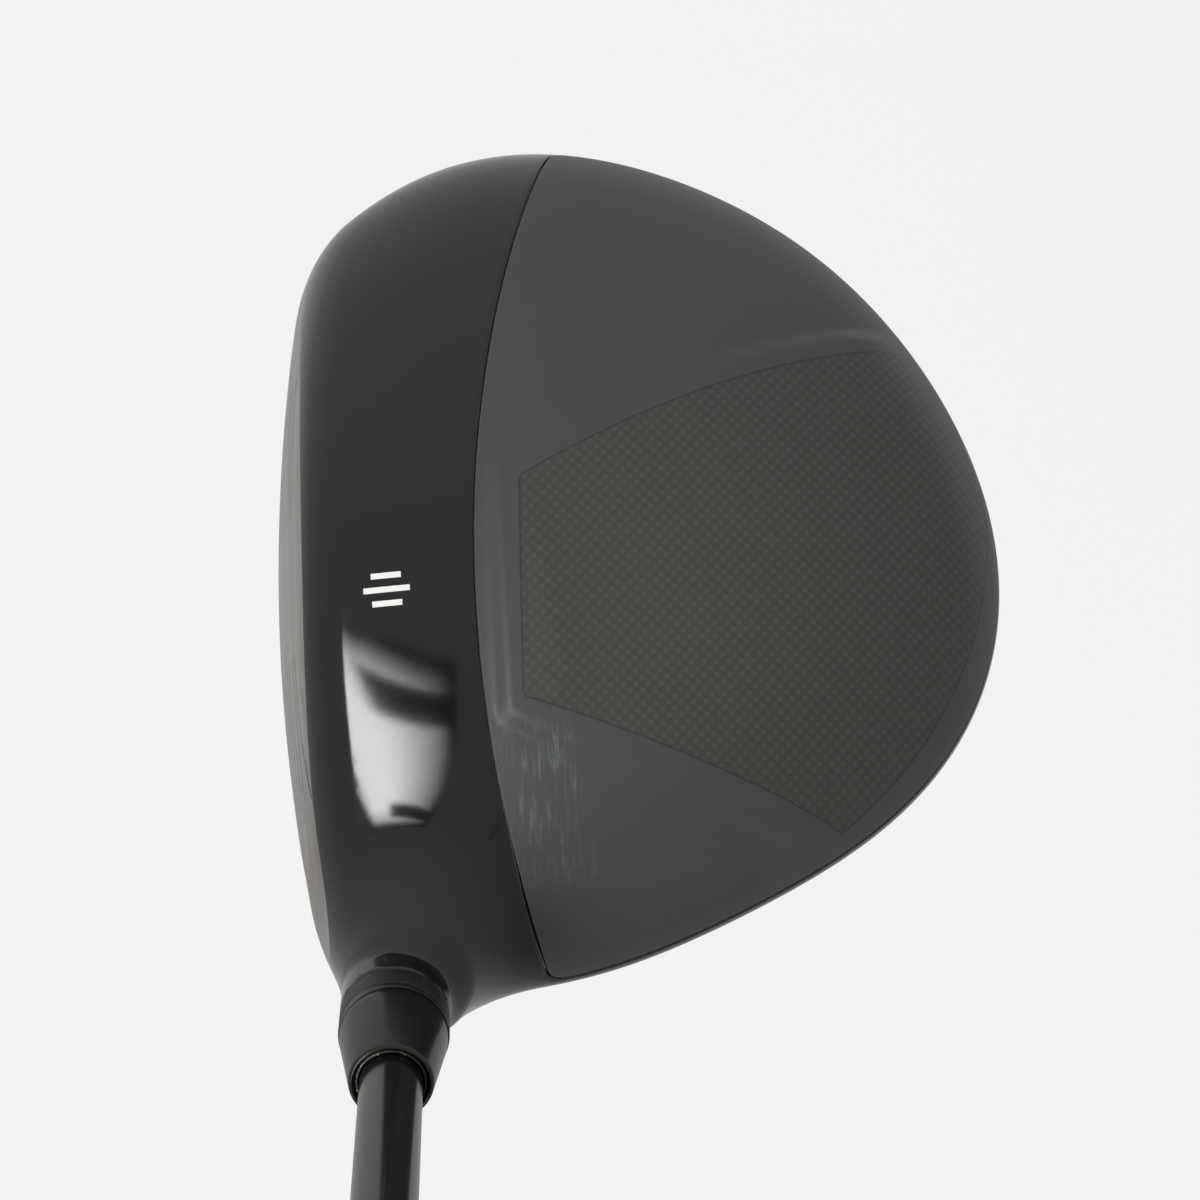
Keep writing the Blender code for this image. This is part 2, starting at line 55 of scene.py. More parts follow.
# Surface detail of the head, in millimetres
FILLET, TAIL_FILLET = 9.0, 15.0  # between hosel and head: at the face, and on the tail side
FILLET_TURN = (-36.0, -20.0)  # plan x between which one fillet becomes the other
FILLET_LOSS, FILLET_FADE = 0.6, (56.0, 64.0)  # share lost towards the rim, and the heights for it
ROOT_ROUND = 5.0  # at the hosel's hidden lower end
RIM_ROUND, RIM_ROUND_HEIGHT = 0.35, 0.8  # how far the hosel's rim draws in, and over what height
PAINT_LINE = -38.5  # furthest back that bare metal reaches
PAINT_OVERLAP = 0.5  # of bare metal past the face's own surface
SEAM = 0.1  # half the open width of a seam
CROWN_GROOVE = (0.3, 1.0, 0.35)  # depth, then width outside and inside the seam
SOLE_GROOVE = (0.25, 0.4, 0.4)
PORT_GROOVE = (0.3, 0.5, 0.5)
SCREW_GROOVE = (0.4, 0.6, 0.6)
PORT_REACH, SCREW_REACH = 12.0, 45.0  # heights on their axes up to which the holes are cut
NO_CUT = 30.0  # value of a side that is too far away to matter

# Raised middle of the crown: its front, its toe and heel lines as y against x, and its ramp
PLATEAU = 1.15
PLATEAU_FRONT, PLATEAU_CORNER, PLATEAU_RAMP, PLATEAU_HEIGHTS = -11.3, 1.5, 1.4, (34.0, 46.0)
TOE_LINE_X, TOE_LINE_Y, TOE_LINE_SLOPE, TOE_LINE_BEND = -11.7, 5.5, 0.495, -0.00242
HEEL_LINE_X, HEEL_LINE_Y, HEEL_LINE_SLOPE = -10.5, -32.0, -0.46
TOE_LINE_STRETCH, HEEL_LINE_STRETCH = 1.08, 1.1  # from distance along y to distance from the line

# Meshes, in millimetres and degrees
GRID_LOW, GRID_HIGH, GRID = (-54.0, -84.0, -3.0), (68.0, 65.0, 68.0), 1.05
SHELL = 1.0
LEDGE_MIDDLE, LEDGE_HALF, LEDGE_GAP = 1.0, 3.0, 0.15  # gap: under the panel
FINE_STEP, COARSE_STEP = 0.02, 0.2  # for slopes with and without the grooves
TURNED_SHARP, MARK_SHARP = 50.0, 40.0  # steeper edges than these stay sharp
CROWN_SEARCH = (30.0, 66.0)  # heights between which the crown's top lies
MARK_X, MARK_BARS = -27.0, ((-14.0, 2.2), (-12.0, 3.4), (-10.0, 2.2))  # each bar's y and half length
MARK_HALF_WIDTH, MARK_RISE, MARK_SINK = 0.42, 0.035, 0.05
SHAFT_WALL, GRIP_GAP = 1.0, 0.8
GRIP_LENGTH, CAP_LENGTH, GRIP_MOUTH, GRIP_SWELL, GRIP_BUTT = 268.0, 6.0, 10.0, 3.1, 13.4

# Materials, in metres
WEAVE_PITCH = 0.00128
METAL_GRAIN = 700.0  # noise scale, per metre
SCORE_PITCH, SCORE_MIDDLE = 0.004, -0.008
WINDOW_CENTRE_X, WINDOW_RADIUS = 0.004, 0.0595  # the circle that ends the crown's bare window
DIAMOND_HEIGHT, DIAMONDS_ROUND = 0.011, 8.0

# Studio, in metres and degrees
SOFTBOX_AWAY, SOFTBOX_DISTANCE = (-0.52, -0.37, 0.77), 1.2
SOFTBOX_HALF_WIDTH, SOFTBOX_LOW, SOFTBOX_HIGH = 0.26, -0.58, 0.30
SOFTBOX_POWER = 17.0
SOFTBOX_FADE = (-0.02, 0.24)
FLOOR_HALF, FLOOR_HEIGHT = 100.0, -0.35
CAMERA_TILT, CAMERA_SIDE, CAMERA_ROLL = 10.8, 0.83, 3.5
CAMERA_PLACE, LENS, SENSOR = (-3.0, -102.0, 510.7), 96.0, 36.0  # millimetres
CLIP = (0.01, 300.0)

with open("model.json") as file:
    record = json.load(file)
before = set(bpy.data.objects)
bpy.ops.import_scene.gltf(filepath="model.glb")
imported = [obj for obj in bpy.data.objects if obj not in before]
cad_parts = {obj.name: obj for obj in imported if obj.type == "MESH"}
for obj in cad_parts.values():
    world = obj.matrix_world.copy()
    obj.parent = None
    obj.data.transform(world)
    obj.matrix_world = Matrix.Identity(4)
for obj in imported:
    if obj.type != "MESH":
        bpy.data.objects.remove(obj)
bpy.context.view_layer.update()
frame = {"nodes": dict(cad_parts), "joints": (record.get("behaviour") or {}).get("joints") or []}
JOINTS = {joint["name"]: joint for joint in frame["joints"]}


# ---------------------------------------------------------------- the head's field


def smooth_max(first, second, width):
    overlap = np.maximum(width - np.abs(first - second), 0.0)
    return np.maximum(first, second) + overlap ** 2 / (4 * width)


def smooth_min(first, second, width):
    return -smooth_max(-first, -second, width)


def smooth_step(value, low, high):
    share = np.clip((value - low) / (high - low), 0.0, 1.0)
    return share * share * (3 - 2 * share)


def outline_radius(angle):
    """Plan radius of the hull: the smooth periodic curve through OUTLINE_RADII."""
    count = len(OUTLINE_RADII)
    total = np.zeros_like(angle)
    for index, radius in enumerate(OUTLINE_RADII):
        away = angle - 2 * math.pi * index / count
        near = np.abs(np.sin(away / 2)) < 1e-6
        slope = np.where(near, 1.0, count * np.tan(np.where(near, 1.0, away / 2)))
        total += radius * np.where(near, 1.0, np.sin(count * away / 2) / slope)
    return total


def hull_size(p):
    """Size of the hull that passes through a point, less one: zero on the hull itself."""
    share = np.hypot(p[:, 0], p[:, 1]) / outline_radius(np.arctan2(p[:, 1], p[:, 0]))
    height = p[:, 2] - EQUATOR
    upper = share ** CROWN_POWERS[0] + (np.maximum(height, 0) / CROWN_RISE) ** CROWN_POWERS[1]
    lower = share ** SOLE_POWERS[0] + (np.maximum(-height, 0) / SOLE_DEPTH) ** SOLE_POWERS[1]
    return np.where(height > 0, upper ** (1 / CROWN_POWERS[0]), lower ** (1 / SOLE_POWERS[0])) - 1


def gradient(level, p, step=0.03):
    parts = []
    for axis in range(3):
        shift = np.zeros(3)
        shift[axis] = step
        parts.append((level(p + shift) - level(p - shift)) / (2 * step))
    return np.stack(parts, -1)


def face_x(y, z):
    return (FACE_FOOT + z * math.tan(LOFT)
            + ((y - FACE_CENTRE[0]) ** 2 + (z - FACE_CENTRE[1]) ** 2) / (2 * FACE_RADIUS))


def polar(p, foot=HOSEL_FOOT, along=ALONG):
    """Distance from an axis, and height along it; the axis is the hosel's if none is given."""
    offset = p - foot
    height = offset @ along
    return np.linalg.norm(offset - height[:, None] * along, axis=1), height


def without_shoulder(p, rounds=20):
    """Where a point was before the head swelled up the hosel: the inverse of the CAD's lift."""
    away, _ = polar(p)
    rise = SHOULDER_RISE * np.exp(-(away / SHOULDER_WIDTH) ** 2)
    low, high = p[:, 2] - ALONG[2] * rise, p[:, 2].copy()
    for _ in range(rounds):
        middle = (low + high) / 2
        over = middle + ALONG[2] * rise * smooth_step(middle, *SHOULDER_HEIGHTS) > p[:, 2]
        low, high = np.where(over, low, middle), np.where(over, middle, high)
    moved = p.copy()
    moved[:, 1] -= ALONG[1] * (p[:, 2] - high) / ALONG[2]
    moved[:, 2] = high
    return moved


def crown_plateau(p):
    """Distance inside the raised middle of the crown, in plan."""
    x, y = p[:, 0], p[:, 1]
    back = x - TOE_LINE_X
    toe_line = TOE_LINE_Y + TOE_LINE_SLOPE * back + TOE_LINE_BEND * back ** 2
    heel_line = HEEL_LINE_Y + HEEL_LINE_SLOPE * (x - HEEL_LINE_X)
    inside = smooth_min(x - PLATEAU_FRONT, (toe_line - y) / TOE_LINE_STRETCH, PLATEAU_CORNER)
    return smooth_min(inside, (y - heel_line) / HEEL_LINE_STRETCH, PLATEAU_CORNER)


def crown_side(p):
    """Positive behind the crown seam and above the panel's lower edge, in millimetres from it."""
    bow = (p[:, 1] - CROWN_SEAM_MIDDLE) / CROWN_SEAM_RADIUS
    seam = CROWN_SEAM_FRONT + bow ** 2 * CROWN_SEAM_RADIUS / 2
    behind = (p[:, 0] - seam) / np.sqrt(1 + bow ** 2)
    return smooth_min(behind, p[:, 2] - CROWN_EDGE_HEIGHT, CROWN_EDGE_ROUND)


def sole_side(p, sign):
    """Positive inside a sole panel."""
    across = np.abs(p[:, 0] - SOLE_PANEL_CENTRE[0]) / SOLE_PANEL_HALF[0]
    along = np.abs(p[:, 1] - sign * SOLE_PANEL_CENTRE[1]) / SOLE_PANEL_HALF[1]
    size = (across ** PANEL_POWER + along ** PANEL_POWER + 1e-9) ** (1 / PANEL_POWER)
    inside = (1 - size) * SOLE_PANEL_HALF[1]
    return np.minimum(inside, SOLE_PANEL_TOP - p[:, 2])


def face_side(p):
    """Positive in front of the line where the paint stops."""
    front = face_x(p[:, 1], p[:, 2]) + PAINT_OVERLAP - p[:, 0]
    return smooth_min(front, PAINT_LINE - p[:, 0], 1.5)


def port_axis(name):
    """Mouth of a weight port and the direction into the head, from the weight's own joint."""
    joint = JOINTS[name + "_weight_turn"]
    return np.array(joint["pos_m"]) / MM, -np.array(joint["axis"])


def port_side(p, name):
    """Positive outside a weight port's hole."""
    away, height = polar(p, *port_axis(name))
    return np.where(height < PORT_REACH, away - PORT_HOLE, NO_CUT)


def screw_side(p):
    """Positive outside the hosel screw's hole in the sole."""
    away, height = polar(p)
    return np.where(height < SCREW_REACH, away - SCREW_HOLE, NO_CUT)


def rim_side(p):
    """Positive below the hosel's rim."""
    away, height = polar(p)
    return np.where(away < 2 * HOSEL_RADIUS, HOSEL_RIM - height, NO_CUT)


def groove(side, depth, before, after):
    """Rounded drop of both edges towards a seam, over widths on its negative and positive side."""
    wide = np.where(side < 0, before, after)
    return depth * np.clip(1 - np.abs(side) / wide, 0, 1) ** 2


def plain_field(p):
    """Head without seams or relief."""
    q = without_shoulder(p)
    steep = np.maximum(np.linalg.norm(gradient(hull_size, q), axis=1), 1e-4)
    shape = np.clip(hull_size(q) / steep, -40, 40)
    front = (face_x(q[:, 1], q[:, 2]) - q[:, 0]) * math.cos(LOFT)
    shape = smooth_max(shape, front, FACE_EDGE_ROUND)
    away, height = polar(p)
    near_rim = np.clip((height - HOSEL_RIM + RIM_ROUND_HEIGHT) / RIM_ROUND_HEIGHT, 0, 1)
    hosel = smooth_max(away - (HOSEL_RADIUS - RIM_ROUND * near_rim ** 2), HOSEL_ROOT - height, ROOT_ROUND)
    width = FILLET + (TAIL_FILLET - FILLET) * smooth_step(p[:, 0], *FILLET_TURN)
    width *= 1 - FILLET_LOSS * smooth_step(height, *FILLET_FADE)
    return np.maximum(smooth_min(shape, hosel, width), -p[:, 2])


def head_field(p):
    """Head with its seams and relief; its zero level is the surface seen."""
    field = plain_field(p)
    ramp = smooth_step(crown_plateau(p), -PLATEAU_RAMP, PLATEAU_RAMP)
    field -= PLATEAU * ramp * smooth_step(p[:, 2], *PLATEAU_HEIGHTS)
    field += groove(crown_side(p), *CROWN_GROOVE)
    for sign in (1, -1):
        field += groove(sole_side(p, sign), *SOLE_GROOVE)
    for name in PORTS:
        field += groove(port_side(p, name), *PORT_GROOVE)
    field += groove(screw_side(p), *SCREW_GROOVE)
    return field


# ---------------------------------------------------------------- meshing the field


def surface_net(level, low, high, step):
    """Points near the zero level on a grid, and the triangles between them."""
    size = np.ceil((high - low) / step).astype(int) + 1
    axes = [low[k] + step * np.arange(size[k]) for k in range(3)]
    grid = np.stack(np.meshgrid(*axes, indexing="ij"), -1)
    values = level(grid.reshape(-1, 3)).reshape(size)
    inside = values < 0
    corners = np.array([(i, j, k) for i in (0, 1) for j in (0, 1) for k in (0, 1)])
    cells = size - 1

    def at(corner):
        return tuple(slice(corner[k], cells[k] + corner[k]) for k in range(3))

    filled = sum(inside[at(corner)].astype(int) for corner in corners)
    active = (filled > 0) & (filled < 8)
    number = np.full(cells, -1)
    number[active] = np.arange(active.sum())
    places = np.argwhere(active)
    total, crossings = np.zeros((len(places), 3)), np.zeros(len(places))
    for first in range(8):
        for second in range(first + 1, 8):
            if np.abs(corners[first] - corners[second]).sum() != 1:
                continue
            a = values[tuple((places + corners[first]).T)]
            b = values[tuple((places + corners[second]).T)]
            cut = (a < 0) != (b < 0)
            share = np.where(cut, a / np.where(cut, a - b, 1), 0)
            point = places + corners[first] + share[:, None] * (corners[second] - corners[first])
            total[cut] += point[cut]
            crossings[cut] += 1
    points = low + step * total / crossings[:, None]
    quads = []
    for axis in range(3):
        one, two = np.eye(3, dtype=int)[[(axis + 1) % 3, (axis + 2) % 3]]
        here = tuple(slice(0, size[k] - 1) if k == axis else slice(1, size[k] - 1) for k in range(3))
        there = tuple(slice(1, size[k]) if k == axis else slice(1, size[k] - 1) for k in range(3))
        change = inside[here] != inside[there]
        where = np.argwhere(change) + [0 if k == axis else 1 for k in range(3)]
        outward = inside[here][change]
        ring = [where, where - one, where - one - two, where - two]
        quad = np.stack([number[tuple(cell.T)] for cell in ring], -1)
        quad[~outward] = quad[~outward][:, ::-1]
        quads.append(quad)
    quads = np.concatenate(quads)
    quads = quads[(quads >= 0).all(1)]
    return points, np.concatenate([quads[:, [0, 1, 2]], quads[:, [0, 2, 3]]])


def settle(level, points, rounds=3):
    """Move points onto the zero level."""
    for _ in range(rounds):
        slope = gradient(level, points)
        points = points - (level(points) / np.maximum((slope ** 2).sum(1), 1e-6))[:, None] * slope
    return points


def directed_edges(triangles):
    return np.concatenate([triangles[:, [0, 1]], triangles[:, [1, 2]], triangles[:, [2, 0]]])


def split(level, points, triangles, side, fixed, snap=0.12):
    """Cut the triangles along the line where side() is zero.

    Points nearer to the line than snap are first moved onto it. Points in fixed lie on an earlier
    line, and stay.
    """
    values = side(points)
    near = (np.abs(values) < snap) & ~fixed
    if near.any():
        slope = gradient(side, points[near])
        normal = gradient(level, points[near])
        normal /= np.linalg.norm(normal, axis=1)[:, None]
        slope -= (slope * normal).sum(1)[:, None] * normal
        steep = np.maximum((slope ** 2).sum(1), 1e-3)
        move = (values[near] / steep)[:, None] * slope
        reach = np.linalg.norm(move, axis=1)
        near[near] = reach < 2 * snap
        points[near] = points[near] - move[reach < 2 * snap]
        fixed = fixed | near
        values[near] = 0.0
    values[np.abs(values) < 1e-4] = 0.0
    sign = np.sign(values)
    crossing = (sign[triangles].min(1) < 0) & (sign[triangles].max(1) > 0)
    if not crossing.any():
        return points, triangles, fixed
    edges = np.sort(directed_edges(triangles[crossing]), axis=1)
    codes = np.unique(edges[:, 0] * len(points) + edges[:, 1])
    edges = np.stack([codes // len(points), codes % len(points)], -1)
    cut = edges[values[edges[:, 0]] * values[edges[:, 1]] < 0]
    share = values[cut[:, 0]] / (values[cut[:, 0]] - values[cut[:, 1]])
    added = points[cut[:, 0]] + share[:, None] * (points[cut[:, 1]] - points[cut[:, 0]])
    key = {(int(a), int(b)): len(points) + n for n, (a, b) in enumerate(cut)}
    points = np.concatenate([points, added])
    fixed = np.concatenate([fixed, np.ones(len(added), bool)])
    pieces = [triangles[~crossing]]
    made = []
    for triangle in triangles[crossing]:
        loop = []
        for k in range(3):
            a, b = int(triangle[k]), int(triangle[(k + 1) % 3])
            loop.append(a)
            if sign[a] * sign[b] < 0:
                loop.append(key[(min(a, b), max(a, b))])
        for keep in (1, -1):
            part = [v for v in loop if v >= len(sign) or sign[v] * keep >= 0]
            made += [(part[0], part[k], part[k + 1]) for k in range(1, len(part) - 1)]
    pieces.append(np.array(made, int).reshape(-1, 3))
    return points, np.concatenate(pieces), fixed


def offset_side(side, amount):
    return lambda p: side(p) - amount


def head_surface():
    """Points and triangles of the whole head, and the triangles' middles before the grooves."""
    points, triangles = surface_net(plain_field, np.array(GRID_LOW), np.array(GRID_HIGH), GRID)
    points = settle(plain_field, points)
    fixed = np.zeros(len(points), bool)
    lines = [rim_side, face_side, screw_side]
    _, before, after = CROWN_GROOVE
    lines += [offset_side(crown_side, amount) for amount in (-before, -before / 2, -SEAM, SEAM, after)]
    for sign in (1, -1):
        side = lambda p, sign=sign: sole_side(p, sign)
        lines += [offset_side(side, amount) for amount in (-SOLE_GROOVE[1], -SEAM, SEAM, SOLE_GROOVE[2])]
    for name in PORTS:
        side = lambda p, name=name: port_side(p, name)
        lines += [side, offset_side(side, PORT_GROOVE[2])]
    lines.append(offset_side(screw_side, SCREW_GROOVE[2]))
    for line in lines:
        points, triangles, fixed = split(plain_field, points, triangles, line, fixed)
    points = settle(plain_field, points, 2)
    middles = points[triangles].mean(1)
    points = settle(head_field, points, 3)
    return points, triangles, middles


def unit(vectors):
    return vectors / np.maximum(np.linalg.norm(vectors, axis=1), 1e-9)[:, None]


def add_object(name, data):
    thing = bpy.data.objects.new(name, data)
    bpy.context.scene.collection.objects.link(thing)
    return thing


def add_mesh(name, points, faces, normals=None):
    """Object from points in millimetres. Normals, if given, are one for each corner."""
    data = bpy.data.meshes.new(name)
    data.from_pydata((np.asarray(points) * MM).tolist(), [], faces)
    data.shade_smooth()
    if normals is not None:
        data.normals_split_custom_set(normals.tolist())
    return add_object(name, data)


def shell(name, points, triangles, keep, inset=0.0):
    """Close the kept triangles into a solid of even thickness, inset below the surface if asked.

    Its outside has the field's own normals.
    """
    triangles = triangles[keep]
    used, flat = np.unique(triangles, return_inverse=True)
    triangles = flat.reshape(-1, 3)
    outer = points[used]
    normal = unit(gradient(head_field, outer, FINE_STEP))
    back = unit(gradient(plain_field, outer, COARSE_STEP))
    outer = outer - inset * back
    inner = outer - SHELL * back
    count = len(outer)
    directed = directed_edges(triangles)
    codes = directed[:, 0].astype(np.int64) * count + directed[:, 1]
    reverse = directed[:, 1].astype(np.int64) * count + directed[:, 0]
    rim = directed[~np.isin(codes, reverse)]
    walls = np.stack([rim[:, 1], rim[:, 0], rim[:, 0] + count, rim[:, 1] + count], -1)
    everything = np.concatenate([outer, inner])
    wall_normal = unit(np.cross(everything[walls[:, 2]] - everything[walls[:, 0]],
                                everything[walls[:, 3]] - everything[walls[:, 1]]))
    faces = triangles.tolist() + (triangles[:, ::-1] + count).tolist() + walls.tolist()
    corners = np.concatenate([normal[triangles.ravel()], -back[triangles[:, ::-1].ravel()],
                              np.repeat(wall_normal, 4, axis=0)])
    return add_mesh(name, everything, faces, corners)


# ---------------------------------------------------------------- turned pieces


def axis_matrix(foot, direction):
    turn = Vector((0, 0, 1)).rotation_difference(Vector(direction))
    return Matrix.Translation(Vector(foot) * MM) @ turn.to_matrix().to_4x4()


HOSEL = axis_matrix(HOSEL_FOOT, ALONG)


def rounded(profile, radius, closed=True, steps=3):
    """Profile of (radius, height) points with its corners rounded; an open one keeps its ends."""
    points = [np.array(point, float) for point in profile]
    count = len(points)
    made = []
    for index, point in enumerate(points):
        ends = not closed and index in (0, count - 1)
        before, after = points[index - 1], points[(index + 1) % count]
        to_before, to_after = before - point, after - point
        reach = min(radius, 0.4 * np.linalg.norm(to_before), 0.4 * np.linalg.norm(to_after))
        if ends or reach < 1e-3:
            made.append(point)
            continue
        start = point + to_before / np.linalg.norm(to_before) * reach
        stop = point + to_after / np.linalg.norm(to_after) * reach
        for step in range(steps + 1):
            t = step / steps
            made.append((1 - t) ** 2 * start + 2 * t * (1 - t) * point + t ** 2 * stop)
    return made


def turned(name, profile, place, sides=96, round_off=0.15, six_sided=()):
    """Lathe a profile about the place's Z axis.

    Rows inside a (low, high, radius limit) of six_sided become hexagons.
    """
    solid = profile[0][0] == 0 and profile[-1][0] == 0
    rows = rounded(profile, round_off, closed=not solid)
    angles = 2 * math.pi * np.arange(sides) / sides
    hexagon = math.cos(math.pi / 6) / np.cos((angles % (math.pi / 3)) - math.pi / 6)
    points, rings = [], []
    for radius, height in rows:
        if radius < 1e-6:
            rings.append([len(points)] * sides)
            points.append((0.0, 0.0, height))
            continue
        inside = any(low <= height <= high and radius <= limit for low, high, limit in six_sided)
        reach = radius * hexagon if inside else np.full(sides, radius)
        rings.append(list(range(len(points), len(points) + sides)))
        points += zip(reach * np.cos(angles), reach * np.sin(angles), np.full(sides, height))
    pairs = list(zip(rings, rings[1:])) + ([] if solid else [(rings[-1], rings[0])])
    faces = []
    for low, high in pairs:
        for k in range(sides):
            after = (k + 1) % sides
            loop = [low[k], low[after], high[after], high[k]]
            loop = [v for n, v in enumerate(loop) if v not in loop[:n]]
            if len(loop) > 2:
                faces.append(loop)
    thing = add_mesh(name, points, faces)
    thing.data.transform(place)
    thing.data.set_sharp_from_angle(angle=math.radians(TURNED_SHARP))
    return thing


def shaft_radius(height):
    share = max(height - TAPER_START, 0.0) / (CLUB_LENGTH - TAPER_START)
    return SHAFT_TIP_RADIUS + (SHAFT_BUTT_RADIUS - SHAFT_TIP_RADIUS) * share


# ---------------------------------------------------------------- materials


class Look:
    """One node material: small helpers that add nodes and give back output sockets."""

    def __init__(self, name):
        self.material = bpy.data.materials.new(name)
        self.material.use_nodes = True
        self.tree = self.material.node_tree
        self.shader = self.tree.nodes["Principled BSDF"]
        self.place = self.add("ShaderNodeTexCoord").outputs["Object"]

    def add(self, kind, settings=None, **inputs):
        node = self.tree.nodes.new(kind)
        for key, value in (settings or {}).items():
            setattr(node, key, value)
        for key, value in inputs.items():
            self.put(node.inputs[key.replace("_", " ")], value)
        return node

    def put(self, socket, value):
        if isinstance(value, bpy.types.NodeSocket):
            self.tree.links.new(value, socket)
        else:
            socket.default_value = value

    def math(self, operation, first, second=0.0, third=0.0):
        node = self.add("ShaderNodeMath", {"operation": operation})
        for socket, value in zip(node.inputs, (first, second, third)):
            self.put(socket, value)
        return node.outputs[0]

    def scaled(self, scale, turn=(0.0, 0.0, 0.0)):
        """The object's coordinates, scaled first and then turned."""
        return self.add("ShaderNodeMapping", Vector=self.place, Scale=scale, Rotation=turn).outputs[0]

    def noise(self, scale, detail=4.0, roughness=0.55, vector=None):
        node = self.add("ShaderNodeTexNoise", Vector=vector or self.place, Scale=scale, Detail=detail,
                        Roughness=roughness)
        return node.outputs["Fac"]

    def streaks(self, scale, degrees, detail, roughness):
        """Noise stretched by a scale for each axis and turned about Z."""
        turn = (0.0, 0.0, math.radians(degrees))
        return self.noise(1.0, detail, roughness, self.scaled(scale, turn))

    def cells(self, scale):
        return self.add("ShaderNodeTexVoronoi", Vector=self.place, Scale=scale).outputs["Distance"]

    def range(self, value, low, high, to_low=0.0, to_high=1.0):
        """Clamped ramp from to_low to to_high; it falls where low is the larger."""
        node = self.add("ShaderNodeMapRange", Value=value, From_Min=low, From_Max=high,
                        To_Min=to_low, To_Max=to_high)
        return node.outputs[0]

    def distance(self, value, middle):
        return self.math("ABSOLUTE", self.math("SUBTRACT", value, middle))

    def product(self, first, *others):
        for other in others:
            first = self.math("MULTIPLY", first, other)
        return first

    def mix(self, share, first, second):
        node = self.add("ShaderNodeMix", {"data_type": "RGBA"})
        self.put(node.inputs["Factor"], share)
        for socket, value in ((node.inputs[6], first), (node.inputs[7], second)):
            self.put(socket, (*value, 1.0) if isinstance(value, tuple) and len(value) == 3 else value)
        return node.outputs[2]

    def split(self):
        return self.add("ShaderNodeSeparateXYZ", Vector=self.place).outputs

    def bump(self, height, distance, strength=1.0, under=None):
        node = self.add("ShaderNodeBump", Height=height, Distance=distance, Strength=strength)
        if under is not None:
            self.put(node.inputs["Normal"], under)
        return node.outputs[0]

    def weave(self):
        """Height of a plain weave laid diagonally: highest in the middle of each crossing."""
        bias = self.scaled((1.0, 1.0, 1.0), (0.0, 0.0, math.radians(45.0)))
        u, v, _ = self.add("ShaderNodeSeparateXYZ", Vector=bias).outputs
        turns = 2 * math.pi / WEAVE_PITCH
        waves = [self.math("COSINE", self.product(way, turns)) for way in (u, v)]
        return self.product(self.math("ADD", *waves), 0.5)

    def fibres(self):
        return self.streaks((900.0, 6000.0, 900.0), 45.0, 3.0, 0.6)

    def show(self, node):
        """Send a node's output to the surface."""
        self.tree.links.new(node.outputs[0], self.tree.nodes["Material Output"].inputs["Surface"])

    def finish(self, **inputs):
        """Set the principled shader's inputs, and give back the material."""
        for key, value in inputs.items():
            if isinstance(value, tuple) and len(value) == 3:
                value = (*value, 1.0)
            self.put(self.shader.inputs[key.replace("_", " ")], value)
        return self.material


def gloss_paint():
    """Black enamel: deep gloss with orange peel, faint haze and a few dust specks."""
    look = Look("gloss_black_paint")
    peel = look.bump(look.noise(1500.0, 3.0), 0.000005, 0.35)
    haze = look.noise(45.0, 5.0)
    specks = look.range(look.cells(420.0), 0.045, 0.02)
    rare = look.range(look.noise(60.0, 1.0), 0.62, 0.66)
    dust = look.product(specks, rare)
    rough = look.math("ADD", look.range(haze, 0.35, 0.75, 0.06, 0.13), look.product(dust, 0.4))
    colour = look.mix(look.product(dust, 0.5), (0.0085, 0.009, 0.0092), (0.12, 0.12, 0.12))
    return look.finish(Base_Color=colour, Roughness=rough, Normal=peel)


def brushed_titanium():
    """Bare face: fine lines brushed from heel to toe, darker handling marks, and score lines."""
    look = Look("brushed_titanium_face")
    lines = look.streaks((2600.0, 38.0, 2600.0), 0.0, 6.0, 0.65)
    broad = look.streaks((420.0, 22.0, 420.0), 0.0, 3.0, 0.5)
    stain = look.range(look.noise(38.0, 5.0), 0.5, 0.75)
    tone = look.mix(look.range(broad, 0.3, 0.7), (0.30, 0.285, 0.27), (0.42, 0.405, 0.39))
    tone = look.mix(look.product(stain, 0.45), tone, (0.24, 0.21, 0.18))
    rough = look.range(lines, 0.25, 0.75, 0.26, 0.42)
    _, y, z = look.split()
    across = look.distance(y, SCORE_MIDDLE)
    steps = look.math("FRACT", look.math("DIVIDE", z, SCORE_PITCH))
    wave = look.distance(steps, 0.5)
    score = look.product(look.range(wave, 0.1, 0.05), look.range(across, 0.010, 0.0105),
                         look.range(across, 0.032, 0.0315), look.range(z, 0.0120, 0.0121),
                         look.range(z, 0.0441, 0.0440))
    tone = look.mix(look.product(score, 0.8), tone, (0.03, 0.03, 0.03))
    grooves = look.bump(look.product(score, -1.0), 0.0003)
    return look.finish(Base_Color=tone, Roughness=rough, Metallic=0.9, Anisotropic=0.5,
                       Normal=look.bump(lines, 0.00003, 0.5, grooves))


